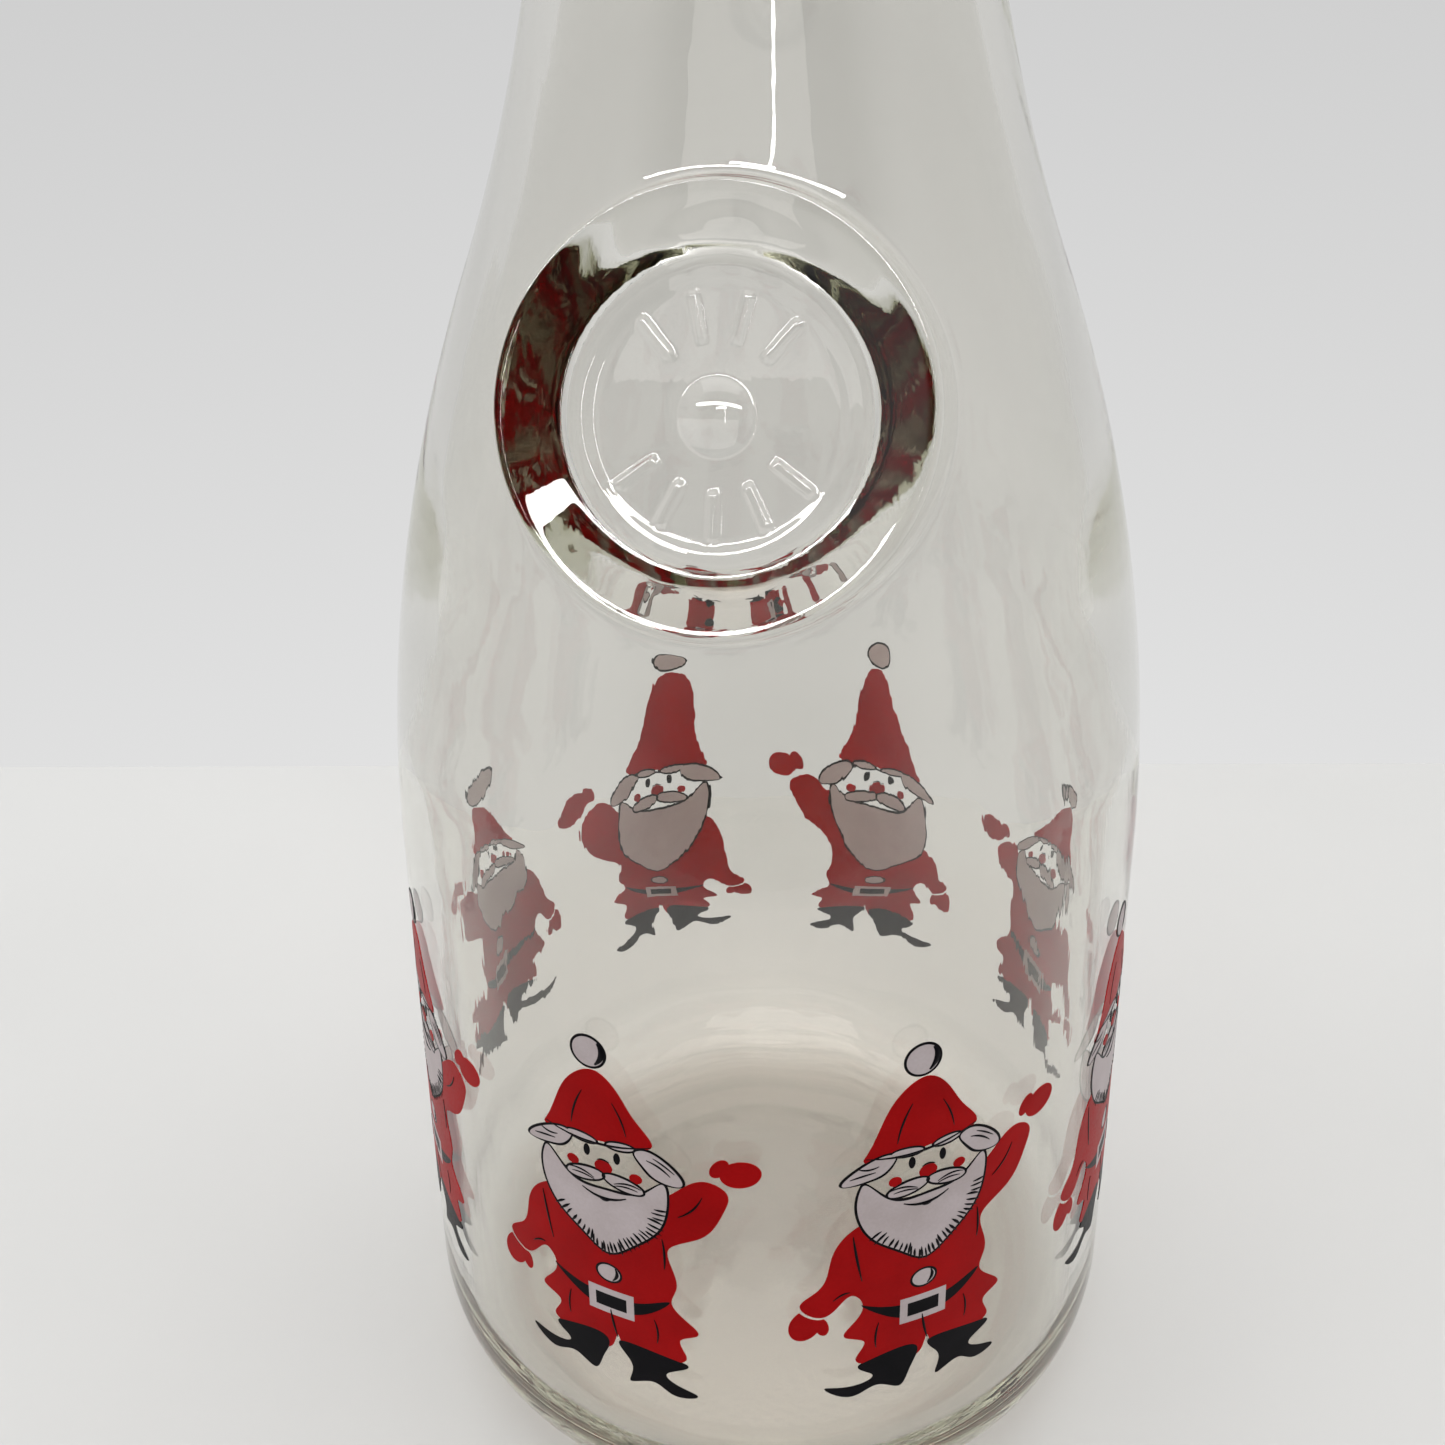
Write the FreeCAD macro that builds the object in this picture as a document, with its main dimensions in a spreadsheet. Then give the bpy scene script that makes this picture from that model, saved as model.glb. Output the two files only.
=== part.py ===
"""A one-litre glass milk bottle with a moulded seal and a band of printed winter gnomes.

The bottle is one piece of blown glass. Its outside is turned round a vertical axis: a rounded heel, a
slightly leaning body, a long shoulder and a neck that opens again towards a rolled lip. A round seal
stands on the shoulder, with a dished face, a pip at its centre and short raised marks round the pip.
Eight equal gnomes stand round the body. Each is three thin layers of fired enamel: red, white and black.

Frame: millimetres, +Z up, origin at the centre of the base, the seal faces -Y.
"""
import FreeCAD, Part
import Sketcher
import math
import os

from FreeCAD import Placement, Rotation, Vector

doc = FreeCAD.newDocument("milk_bottle")

# ---------------------------------------------------------------- driving dimensions
DIMENSIONS = [
    ("bottle_height", 264.0),     # base to the top of the lip
    ("body_radius", 50.6),        # outside, just above the heel
    ("heel_radius", 15.0),        # round corner between the base and the body
    ("foot_inner_radius", 30.0),  # inner edge of the ring that the bottle stands on
    ("push_up", 2.4),             # how far the middle of the base is pushed up
    ("shoulder_start", 88.0),     # height at which the body ends
    ("shoulder_start_radius", 47.85),
    ("shoulder_arc", 202.0),      # the convex curve above the body
    ("shoulder_end", 157.0),      # height at which the convex curve turns concave
    ("neck_arc", 178.0),          # the concave curve of the neck
    ("lip_bead", 3.2),            # radius of the rolled lip
    ("wall", 3.1),
    ("floor_thickness", 6.0),
    ("mouth_radius", 18.4),       # straight inside wall that a stopper seats in
    ("mouth_depth", 13.0),
    ("seal_height", 149.7),       # height of the seal's centre
    ("seal_face_radius", 14.6),   # flat dished face
    ("seal_crest_radius", 19.8),  # inner edge of the raised rim
    ("seal_rim_radius", 20.8),    # outer edge of the raised rim
    ("seal_foot_radius", 22.4),   # where the rim meets the shoulder
    ("seal_rim_lift", 1.9),       # rim above the shoulder
    ("seal_face_drop", 0.9),      # face below the shoulder
    ("seal_depth", 11.0),         # how deep the rim's body reaches back into the wall
    ("pip_radius", 3.7),
    ("pip_rise", 1.3),
    ("mark_length", 4.6),
    ("mark_width", 1.0),
    ("mark_rise", 0.4),
    ("mark_ring_radius", 9.2),    # from the pip's centre to the middle of a mark
    ("print_foot", 28.75),        # height of the soles of the printed boots
    ("print_height", 56.0),       # height of the band that holds the prints
    ("print_thickness", 0.08),
    ("print_turn", 8.2),          # degrees from the seal to the middle between two gnomes
]
sheet = doc.addObject("Spreadsheet::Sheet", "dimensions")
for row, (alias, value) in enumerate(DIMENSIONS, start=1):
    sheet.set("A%d" % row, alias)
    sheet.set("B%d" % row, str(value))
    sheet.setAlias("B%d" % row, alias)
doc.recompute()


def size(alias):
    """The sheet's value of a driving dimension."""
    return float(sheet.get(alias))


# ---------------------------------------------------------------- outline of the bottle, worked out
FIGURES = 8
LIP_INNER_ROUND = 1.6
FILM_MARGIN = 1.0
MARKS_ABOVE = 4
MARKS_BELOW = 5
MARK_STEP = 27.0

heel_centre = (size("body_radius") - size("heel_radius"), size("heel_radius"))


def tangent_from(centre, radius, point):
    """The point where the line from a circle to an outside point above it leaves the circle."""
    across = point[0] - centre[0]
    up = point[1] - centre[1]
    angle = math.atan2(up, across) - math.acos(radius / math.hypot(across, up))
    return (centre[0] + radius * math.cos(angle), centre[1] + radius * math.sin(angle))


def arc_above(point, radius, lean, end_height, convex):
    """The centre and the end of an arc that leaves a point with a lean, and the lean at its end."""
    side = -1 if convex else 1
    centre = (point[0] + side * radius * math.cos(lean), point[1] + side * radius * math.sin(lean))
    end_lean = math.asin((end_height - centre[1]) / radius * -side)
    return centre, (centre[0] - side * radius * math.cos(end_lean), end_height), end_lean


body_top = (size("shoulder_start_radius"), size("shoulder_start"))
body_foot = tangent_from(heel_centre, size("heel_radius"), body_top)
body_lean = math.atan2(body_foot[0] - body_top[0], body_top[1] - body_foot[1])
shoulder_centre, shoulder_top, shoulder_lean = arc_above(
    body_top, size("shoulder_arc"), body_lean, size("shoulder_end"), True)
bead_height = size("bottle_height") - size("lip_bead")
BEAD_UNDERCUT = 0.8
neck_end_height = bead_height - size("lip_bead") * BEAD_UNDERCUT
neck_centre, neck_top, _ = arc_above(
    shoulder_top, size("neck_arc"), shoulder_lean, neck_end_height, False)


def body_radius_at(height):
    """The outside radius of the leaning body at a height."""
    share = (height - body_foot[1]) / (body_top[1] - body_foot[1])
    return body_foot[0] + share * (body_top[0] - body_foot[0])


def shoulder_radius_at(height):
    """The outside radius of the convex shoulder at a height."""
    return shoulder_centre[0] + math.sqrt(size("shoulder_arc") ** 2 - (height - shoulder_centre[1]) ** 2)


# ---------------------------------------------------------------- sketch helpers
def origin_plane(body, role):
    """A body's own origin plane."""
    return next(f for f in body.Origin.OriginFeatures if f.Role == role)


def new_sketch(body, name, role="XZ_Plane"):
    """A sketch on one of the body's origin planes."""
    sketch = body.newObject("Sketcher::SketchObject", name)
    sketch.AttachmentSupport = [(origin_plane(body, role), "")]
    sketch.MapMode = "FlatFace"
    return sketch


def flat(point):
    """A sketch point as a vector."""
    return Vector(point[0], point[1], 0)


def add_line(sketch, start, end):
    """A straight edge; returns its number."""
    return sketch.addGeometry(Part.LineSegment(flat(start), flat(end)), False)


def add_arc(sketch, centre, start, end, counter_clockwise=True):
    """A round edge about a centre, from start to end; returns its number."""
    radius = math.hypot(start[0] - centre[0], start[1] - centre[1])
    first, last = (start, end) if counter_clockwise else (end, start)
    angle_first = math.atan2(first[1] - centre[1], first[0] - centre[0])
    angle_last = math.atan2(last[1] - centre[1], last[0] - centre[0])
    circle = Part.Circle(flat(centre), Vector(0, 0, 1), radius)
    return sketch.addGeometry(Part.ArcOfCircle(circle, angle_first, angle_last), False)


def vertex_near(sketch, edge, point):
    """Which end of an edge, 1 or 2, lies at a point."""
    ends = {end: sketch.getPoint(edge, end) for end in (1, 2)}
    return min(ends, key=lambda end: math.hypot(ends[end].x - point[0], ends[end].y - point[1]))


def join(sketch, edge, next_edge, point, smooth=False):
    """Two edges meet at a point, and run into each other there if smooth."""
    kind = "Tangent" if smooth else "Coincident"
    sketch.addConstraint(Sketcher.Constraint(
        kind, edge, vertex_near(sketch, edge, point), next_edge, vertex_near(sketch, next_edge, point)))


def drive(sketch, kind, reference, formula, value):
    """A dimension of the sketch that follows a formula on the spreadsheet."""
    number = sketch.addConstraint(Sketcher.Constraint(kind, *reference, value))
    sketch.setExpression("Constraints[%d]" % number, formula)


def drive_point(sketch, edge, point, across=None, up=None):
    """The distances of an edge's end from the axis and from the base follow two formulas."""
    end = vertex_near(sketch, edge, point)
    if across:
        drive(sketch, "DistanceX", (-1, 1, edge, end), across, point[0])
    if up:
        drive(sketch, "DistanceY", (-1, 1, edge, end), up, point[1])


def drive_centre(sketch, edge, centre, across=None, up=None):
    """The distances of an arc's centre from the axis and from the base follow two formulas."""
    if across:
        drive(sketch, "DistanceX", (-1, 1, edge, 3), across, centre[0])
    if up:
        drive(sketch, "DistanceY", (-1, 1, edge, 3), up, centre[1])


def turn(body, sketch, name):
    """A full turn of a sketch round the upright axis."""
    feature = body.newObject("PartDesign::Revolution", name)
    feature.Profile = sketch
    feature.ReferenceAxis = (sketch, ["V_Axis"])
    feature.Angle = 360


# ---------------------------------------------------------------- the glass
outside_body = doc.addObject("PartDesign::Body", "outside_body")

height = size("bottle_height")
bead = size("lip_bead")
bead_centre = (neck_top[0] - math.sqrt(bead ** 2 - (bead_height - neck_top[1]) ** 2), bead_height)
push_radius = (size("foot_inner_radius") ** 2 + size("push_up") ** 2) / (2 * size("push_up"))
push_centre = (0, size("push_up") - push_radius)

corner = {
    "push_top": (0, size("push_up")),
    "foot_inner": (size("foot_inner_radius"), 0),
    "heel_low": (heel_centre[0], 0),
    "lip_top": (bead_centre[0], height),
    "axis_top": (0, height),
}
outside = new_sketch(outside_body, "outside_outline")
push_arc = add_arc(outside, push_centre, corner["push_top"], corner["foot_inner"], False)
foot = add_line(outside, corner["foot_inner"], corner["heel_low"])
heel = add_arc(outside, heel_centre, corner["heel_low"], body_foot)
side = add_line(outside, body_foot, body_top)
shoulder = add_arc(outside, shoulder_centre, body_top, shoulder_top)
neck = add_arc(outside, neck_centre, shoulder_top, neck_top, False)
roll = add_arc(outside, bead_centre, neck_top, corner["lip_top"])
lid = add_line(outside, corner["lip_top"], corner["axis_top"])
axis = add_line(outside, corner["axis_top"], corner["push_top"])

join(outside, push_arc, foot, corner["foot_inner"])
join(outside, foot, heel, corner["heel_low"], smooth=True)
join(outside, heel, side, body_foot, smooth=True)
join(outside, side, shoulder, body_top, smooth=True)
join(outside, shoulder, neck, shoulder_top, smooth=True)
join(outside, neck, roll, neck_top)
join(outside, roll, lid, corner["lip_top"])
join(outside, lid, axis, corner["axis_top"])
join(outside, axis, push_arc, corner["push_top"])
for edge in (foot, lid):
    outside.addConstraint(Sketcher.Constraint("Horizontal", edge))
outside.addConstraint(Sketcher.Constraint("PointOnObject", push_arc, 3, -2))
for end in (1, 2):
    outside.addConstraint(Sketcher.Constraint("PointOnObject", axis, end, -2))
outside.addConstraint(Sketcher.Constraint(
    "Vertical", roll, 3, roll, vertex_near(outside, roll, corner["lip_top"])))
outside.addConstraint(Sketcher.Constraint("PointOnObject", foot, 1, -1))
drive_point(outside, axis, corner["push_top"], up="dimensions.push_up")
drive_point(outside, foot, corner["foot_inner"], across="dimensions.foot_inner_radius")
drive(outside, "Radius", (heel,), "dimensions.heel_radius", size("heel_radius"))
drive_centre(outside, heel, heel_centre, across="dimensions.body_radius - dimensions.heel_radius")
drive_point(outside, side, body_top, "dimensions.shoulder_start_radius", "dimensions.shoulder_start")
drive(outside, "Radius", (shoulder,), "dimensions.shoulder_arc", size("shoulder_arc"))
drive_point(outside, shoulder, shoulder_top, up="dimensions.shoulder_end")
drive(outside, "Radius", (neck,), "dimensions.neck_arc", size("neck_arc"))
drive_point(outside, neck, neck_top, up="dimensions.bottle_height - %s * dimensions.lip_bead" % (
    1 + BEAD_UNDERCUT))
drive(outside, "Radius", (roll,), "dimensions.lip_bead", bead)
drive_point(outside, roll, corner["lip_top"], up="dimensions.bottle_height")
turn(outside_body, outside, "outside_turned")

# ---------------------------------------------------------------- the seal on the shoulder
seal_radius = shoulder_radius_at(size("seal_height"))
seal_tilt = math.asin((size("seal_height") - shoulder_centre[1]) / size("shoulder_arc"))
seal_out = Vector(0, -math.cos(seal_tilt), math.sin(seal_tilt))
seal_point = Vector(0, -seal_radius, size("seal_height"))
seal_turn = Rotation(Vector(1, 0, 0), Vector(0, math.sin(seal_tilt), math.cos(seal_tilt)), seal_out, "ZXY")


def on_seal(rise, across=0.0, up=0.0, turned=0.0):
    """A place on the seal: its rise above the shoulder, then across and up the seal's own face."""
    offset = seal_turn.multVec(Vector(across, up, rise))
    return Placement(seal_point + offset, seal_turn * Rotation(Vector(0, 0, 1), turned))


def primitive(kind, name, placement, **formulas):
    """A Part primitive with its sizes bound to the spreadsheet."""
    feature = doc.addObject("Part::" + kind, name)
    for quantity, formula in formulas.items():
        feature.setExpression(quantity, formula)
    feature.Placement = placement
    return feature


def fused(name, shapes):
    """Several shapes made one."""
    feature = doc.addObject("Part::MultiFuse", name)
    feature.Shapes = shapes
    return feature


def cut(name, base, tool):
    """A shape with another taken out of it."""
    feature = doc.addObject("Part::Cut", name)
    feature.Base = base
    feature.Tool = tool
    return feature


rim = primitive(
    "Cone", "seal_rim", on_seal(-size("seal_depth")),
    Radius1="dimensions.seal_foot_radius", Radius2="dimensions.seal_rim_radius",
    Height="dimensions.seal_depth + dimensions.seal_rim_lift")
dish = primitive(
    "Cone", "seal_dish", on_seal(-size("seal_face_drop")),
    Radius1="dimensions.seal_face_radius", Radius2="dimensions.seal_crest_radius",
    Height="dimensions.seal_face_drop + dimensions.seal_rim_lift")
with_rim = fused("bottle_with_rim", [outside_body, rim])
with_dish = cut("bottle_with_dish", with_rim, dish)

pip_ball = (size("pip_radius") ** 2 + size("pip_rise") ** 2) / (2 * size("pip_rise"))
raised = [primitive(
    "Sphere", "seal_pip", on_seal(size("pip_rise") - size("seal_face_drop") - pip_ball),
    Radius="(dimensions.pip_radius ^ 2 + dimensions.pip_rise ^ 2) / (2 * dimensions.pip_rise)")]

MARK_ROOT = 1.0
near = size("mark_ring_radius") - size("mark_length") / 2
half_width = size("mark_width") / 2
for marks, middle in ((MARKS_ABOVE, 90.0), (MARKS_BELOW, 270.0)):
    for number in range(marks):
        degrees = middle + (number - (marks - 1) / 2) * MARK_STEP
        angle = math.radians(degrees)
        mark_corner = on_seal(
            -size("seal_face_drop") - MARK_ROOT,
            near * math.cos(angle) + half_width * math.sin(angle),
            near * math.sin(angle) - half_width * math.cos(angle), degrees)
        raised.append(primitive(
            "Box", "seal_mark_%d_%d" % (marks, number), mark_corner,
            Length="dimensions.mark_length", Width="dimensions.mark_width",
            Height="dimensions.mark_rise + %s" % MARK_ROOT))
blank = fused("solid_bottle", [with_dish] + raised)

# ---------------------------------------------------------------- the hollow
wall = size("wall")
mouth_foot = (size("mouth_radius"), height - size("mouth_depth"))
inner_heel_radius = size("heel_radius") - wall
inner_heel_centre = (heel_centre[0], size("floor_thickness") + inner_heel_radius)
inner_body_top = (body_top[0] - wall, body_top[1])
inner_body_foot = tangent_from(inner_heel_centre, inner_heel_radius, inner_body_top)
inner_lean = math.atan2(inner_body_foot[0] - inner_body_top[0], inner_body_top[1] - inner_body_foot[1])
inner_shoulder_centre, inner_shoulder_top, inner_shoulder_lean = arc_above(
    inner_body_top, size("shoulder_arc") - wall, inner_lean, size("shoulder_end"), True)
inner_neck_centre, inner_neck_top, _ = arc_above(
    inner_shoulder_top, size("neck_arc") + wall, inner_shoulder_lean, mouth_foot[1], False)
lip_round_centre = (mouth_foot[0] + LIP_INNER_ROUND, height - LIP_INNER_ROUND)
hollow_corner = {
    "floor_middle": (0, size("floor_thickness")),
    "floor_edge": (inner_heel_centre[0], size("floor_thickness")),
    "mouth_top": (mouth_foot[0], height - LIP_INNER_ROUND),
    "lip_edge": (lip_round_centre[0], height),
    "axis_top": (0, height),
}
hollow_body = doc.addObject("PartDesign::Body", "hollow_body")
hollow = new_sketch(hollow_body, "inside_outline")
floor = add_line(hollow, hollow_corner["floor_middle"], hollow_corner["floor_edge"])
inner_heel = add_arc(hollow, inner_heel_centre, hollow_corner["floor_edge"], inner_body_foot)
inner_side = add_line(hollow, inner_body_foot, inner_body_top)
inner_shoulder = add_arc(hollow, inner_shoulder_centre, inner_body_top, inner_shoulder_top)
inner_neck = add_arc(hollow, inner_neck_centre, inner_shoulder_top, inner_neck_top, False)
seat_step = add_line(hollow, inner_neck_top, mouth_foot)
mouth_wall = add_line(hollow, mouth_foot, hollow_corner["mouth_top"])
mouth_round = add_arc(
    hollow, lip_round_centre, hollow_corner["mouth_top"], hollow_corner["lip_edge"], False)
opening = add_line(hollow, hollow_corner["lip_edge"], hollow_corner["axis_top"])
middle = add_line(hollow, hollow_corner["axis_top"], hollow_corner["floor_middle"])

join(hollow, floor, inner_heel, hollow_corner["floor_edge"], smooth=True)
join(hollow, inner_heel, inner_side, inner_body_foot, smooth=True)
join(hollow, inner_side, inner_shoulder, inner_body_top, smooth=True)
join(hollow, inner_shoulder, inner_neck, inner_shoulder_top, smooth=True)
join(hollow, inner_neck, seat_step, inner_neck_top)
join(hollow, seat_step, mouth_wall, mouth_foot)
join(hollow, mouth_wall, mouth_round, hollow_corner["mouth_top"], smooth=True)
join(hollow, mouth_round, opening, hollow_corner["lip_edge"])
join(hollow, opening, middle, hollow_corner["axis_top"])
join(hollow, middle, floor, hollow_corner["floor_middle"])
for edge in (floor, opening, seat_step):
    hollow.addConstraint(Sketcher.Constraint("Horizontal", edge))
hollow.addConstraint(Sketcher.Constraint("Vertical", mouth_wall))
hollow.addConstraint(Sketcher.Constraint(
    "Vertical", mouth_round, 3, mouth_round, vertex_near(hollow, mouth_round, hollow_corner["lip_edge"])))
for end in (1, 2):
    hollow.addConstraint(Sketcher.Constraint("PointOnObject", middle, end, -2))
drive_point(hollow, middle, hollow_corner["floor_middle"], up="dimensions.floor_thickness")
drive(hollow, "Radius", (inner_heel,), "dimensions.heel_radius - dimensions.wall", inner_heel_radius)
drive_centre(
    hollow, inner_heel, inner_heel_centre, across="dimensions.body_radius - dimensions.heel_radius")
drive_point(
    hollow, inner_side, inner_body_top, "dimensions.shoulder_start_radius - dimensions.wall",
    "dimensions.shoulder_start")
drive(
    hollow, "Radius", (inner_shoulder,), "dimensions.shoulder_arc - dimensions.wall",
    size("shoulder_arc") - wall)
drive_point(hollow, inner_shoulder, inner_shoulder_top, up="dimensions.shoulder_end")
drive(
    hollow, "Radius", (inner_neck,), "dimensions.neck_arc + dimensions.wall", size("neck_arc") + wall)
drive_point(
    hollow, mouth_wall, mouth_foot, "dimensions.mouth_radius",
    "dimensions.bottle_height - dimensions.mouth_depth")
drive(hollow, "Radius", (mouth_round,), str(LIP_INNER_ROUND), LIP_INNER_ROUND)
drive_point(hollow, opening, hollow_corner["lip_edge"], up="dimensions.bottle_height")
turn(hollow_body, hollow, "hollow_turned")
glass = cut("glass_bottle", blank, hollow_body)
doc.recompute()
wall_share = glass.Shape.Volume / outside_body.Shape.Volume
print("the glass fills %.2f of the outside shape" % wall_share)


# ---------------------------------------------------------------- the printed gnomes
# A gnome is drawn on a flat plane, across and up from the middle of its boot soles, and pressed
# straight back onto the leaning body. Each outline is a closed smooth curve through a few points.
RED_SHAPES = {
    "hat": [(-8.7, 39.3), (-6.9, 43.4), (-4.3, 48.0), (-1.4, 49.4), (1.0, 47.6), (3.4, 43.6), (5.3, 40.3),
            (1.6, 39.4), (-3.6, 38.9)],
    "coat": [(-9.6, 28.8), (-12.4, 24.4), (-14.0, 19.4), (-16.0, 17.0), (-13.4, 15.0), (-9.9, 18.0),
             (-8.6, 15.6), (-10.7, 11.0), (-8.4, 9.8), (-9.4, 7.0), (-5.0, 5.4), (-0.8, 5.9), (-0.1, 8.0),
             (0.7, 5.9), (4.8, 5.4), (8.9, 7.0), (8.2, 10.0), (10.2, 11.2), (7.2, 15.8), (7.8, 18.6),
             (7.0, 25.0), (10.8, 27.6), (13.4, 32.0), (13.8, 34.8), (11.6, 36.4), (7.0, 33.4), (0.0, 31.0)],
}
MITTEN_ROUNDS = [
    ("low_mitten", -15.4, 13.9, 2.7, 1.8, 70.0),
    ("low_thumb", -13.5, 13.4, 1.5, 0.8, 100.0),
    ("high_mitten", 15.2, 37.9, 2.3, 1.9, 20.0),
    ("high_thumb", 12.9, 38.6, 1.5, 0.9, 60.0),
]
FACE_ROUNDS = [
    ("nose", -0.9, 35.3, 1.15, 1.0, 0.0),
    ("left_cheek", -5.0, 34.9, 0.8, 0.7, 0.0),
    ("right_cheek", 3.2, 34.9, 0.8, 0.7, 0.0),
]
WHITE_SHAPES = {
    "beard": [(-9.0, 35.0), (-9.4, 31.0), (-7.6, 26.8), (-3.8, 23.6), (-0.9, 21.8), (2.2, 23.8), (5.2, 26.8),
              (6.8, 31.0), (6.4, 35.0), (4.2, 33.0), (-0.9, 31.8), (-6.4, 33.0)],
    "left_hair": [(-5.2, 39.0), (-8.0, 38.6), (-11.2, 35.6), (-8.0, 36.0), (-5.8, 37.2)],
    "right_hair": [(3.4, 39.2), (6.0, 39.0), (8.6, 35.2), (5.8, 35.6), (4.0, 37.4)],
}
WHITE_ROUNDS = [
    ("pompom", -2.1, 51.9, 2.0, 2.0, 0.0),
    ("left_moustache", -3.4, 33.5, 2.5, 0.9, 12.0),
    ("right_moustache", 1.6, 33.5, 2.5, 0.9, -12.0),
    ("left_brow", -3.6, 39.0, 1.9, 0.5, -4.0),
    ("right_brow", 1.4, 39.2, 1.7, 0.5, 6.0),
    ("button", -0.9, 18.3, 1.5, 1.3, 0.0),
]
BLACK_SHAPES = {
    "belt": [(-8.4, 16.0), (-4.8, 14.8), (-0.8, 14.4), (3.6, 14.9), (6.9, 16.2), (3.6, 13.0), (-0.8, 12.2),
             (-4.8, 12.9)],
    "left_boot": [(-8.2, 6.2), (-1.4, 5.4), (-2.4, 2.8), (-3.6, 0.4), (-6.4, 1.6), (-10.2, 0.4), (-13.2, 2.4),
                  (-10.0, 2.2), (-7.4, 3.8)],
    "right_boot": [(7.8, 6.2), (0.6, 5.4), (1.8, 2.8), (1.4, 0.4), (4.4, 1.4), (7.4, -0.2), (10.2, 0.4),
                   (8.0, 1.6), (6.6, 3.8)],
}
BLACK_ROUNDS = [
    ("left_eye", -3.0, 37.2, 0.85, 0.42, 90.0),
    ("right_eye", 0.9, 37.2, 0.85, 0.42, 90.0),
]
OUTLINE = 0.32
BUCKLE = (-0.8, 13.4, 6.2, 4.2)
BUCKLE_FRAME = 1.0
SPECK = 0.1           # area below which a scrap of ink is dropped
CUFF_GAP = 0.35
PRESS_START = 60.0
PRESS_REACH = 40.0


def on_plane(across, up):
    """A point of the drawing, on the flat plane in front of the bottle."""
    return Vector(across, -PRESS_START, size("print_foot") + up)


def face_of(edges):
    """The flat face inside closed edges, facing away from the bottle."""
    face = Part.Face(Part.Wire(edges))
    if face.normalAt(0, 0).y > 0:
        face.reverse()
    return face


def smooth_face(points, grow=0.0):
    """The inside of a closed smooth curve through a few points, each moved outwards by grow."""
    turned = sum(
        a[0] * b[1] - b[0] * a[1] for a, b in zip(points, points[1:] + points[:1]))
    sign = 1.0 if turned > 0 else -1.0
    moved = []
    for before, point, after in zip(points[-1:] + points[:-1], points, points[1:] + points[:1]):
        along = (after[0] - before[0], after[1] - before[1])
        length = math.hypot(*along)
        moved.append(on_plane(
            point[0] + sign * grow * along[1] / length, point[1] - sign * grow * along[0] / length))
    curve = Part.BSplineCurve()
    curve.interpolate(Points=moved, PeriodicFlag=True)
    return face_of([curve.toShape()])


def round_face(across, up, long_radius, short_radius, turned, grow=0.0):
    """An ellipse, or a circle where both radii are equal, grown outwards by grow."""
    long_radius, short_radius = long_radius + grow, short_radius + grow
    if long_radius < short_radius:
        long_radius, short_radius, turned = short_radius, long_radius, turned + 90.0
    centre = on_plane(across, up)
    if long_radius == short_radius:
        return face_of([Part.makeCircle(long_radius, centre, Vector(0, -1, 0))])
    angle = math.radians(turned)
    far = centre + Vector(math.cos(angle), 0, math.sin(angle)) * long_radius
    wide = centre + Vector(-math.sin(angle), 0, math.cos(angle)) * short_radius
    return face_of([Part.Ellipse(far, wide, centre).toShape()])


def box_face(across, up, width, tall):
    """A rectangle about its middle."""
    ends = [(-1, -1), (1, -1), (1, 1), (-1, 1), (-1, -1)]
    corners = [on_plane(across + x * width / 2, up + z * tall / 2) for x, z in ends]
    return face_of(Part.makePolygon(corners).Edges)


def joined(faces):
    """Flat faces made one drawing, with no seams and no specks."""
    whole = faces[0].multiFuse(faces[1:]).removeSplitter()
    return Part.makeCompound([face for face in whole.Faces if face.Area > SPECK])


def without(drawing, taken):
    """A flat drawing with another taken out of it, and no specks left."""
    left = drawing.cut(taken)
    return Part.makeCompound([face for face in left.Faces if face.Area > SPECK])


def press(faces, film):
    """Ink of the thin film where the flat faces, pressed straight back, meet it."""
    return faces.extrude(Vector(0, PRESS_REACH, 0)).common(film)


def thin_film():
    """The space for ink: a thin leaning sleeve face to face with the body."""
    low = size("print_foot") - FILM_MARGIN
    tall = size("print_height")
    base = Vector(0, 0, low)
    radii = [body_radius_at(low), body_radius_at(low + tall)]
    thick = size("print_thickness")
    inner = Part.makeCone(radii[0], radii[1], tall, base)
    outer = Part.makeCone(radii[0] + thick, radii[1] + thick, tall, base)
    return outer.cut(inner)


buckle_plate = box_face(*BUCKLE)
buckle_hole = box_face(BUCKLE[0], BUCKLE[1], BUCKLE[2] - 2 * BUCKLE_FRAME, BUCKLE[3] - 2 * BUCKLE_FRAME)
white_faces = [smooth_face(points) for points in WHITE_SHAPES.values()]
white_faces += [round_face(*shape[1:]) for shape in WHITE_ROUNDS]
outline_faces = [smooth_face(points, OUTLINE) for points in WHITE_SHAPES.values()]
outline_faces += [round_face(*shape[1:], grow=OUTLINE) for shape in WHITE_ROUNDS]
lip_hair = [shape for shape in WHITE_ROUNDS if "moustache" in shape[0]]
lip_hair_lines = joined([
    round_face(*shape[1:], grow=OUTLINE).cut(round_face(*shape[1:])) for shape in lip_hair])
white = without(joined(white_faces + [buckle_plate.cut(buckle_hole)]), lip_hair_lines)
black_faces = [smooth_face(points) for points in BLACK_SHAPES.values()]
black_faces += [round_face(*shape[1:]) for shape in BLACK_ROUNDS]
black = without(joined(outline_faces + black_faces + [buckle_plate]), white)
red_faces = [smooth_face(points) for points in RED_SHAPES.values()]
red_faces += [round_face(*shape[1:]) for shape in FACE_ROUNDS]
cuffs = smooth_face(RED_SHAPES["coat"], CUFF_GAP)
mittens = joined([round_face(*shape[1:]) for shape in MITTEN_ROUNDS])
red = without(without(joined(red_faces + [without(mittens, cuffs)]), white), black)

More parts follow.
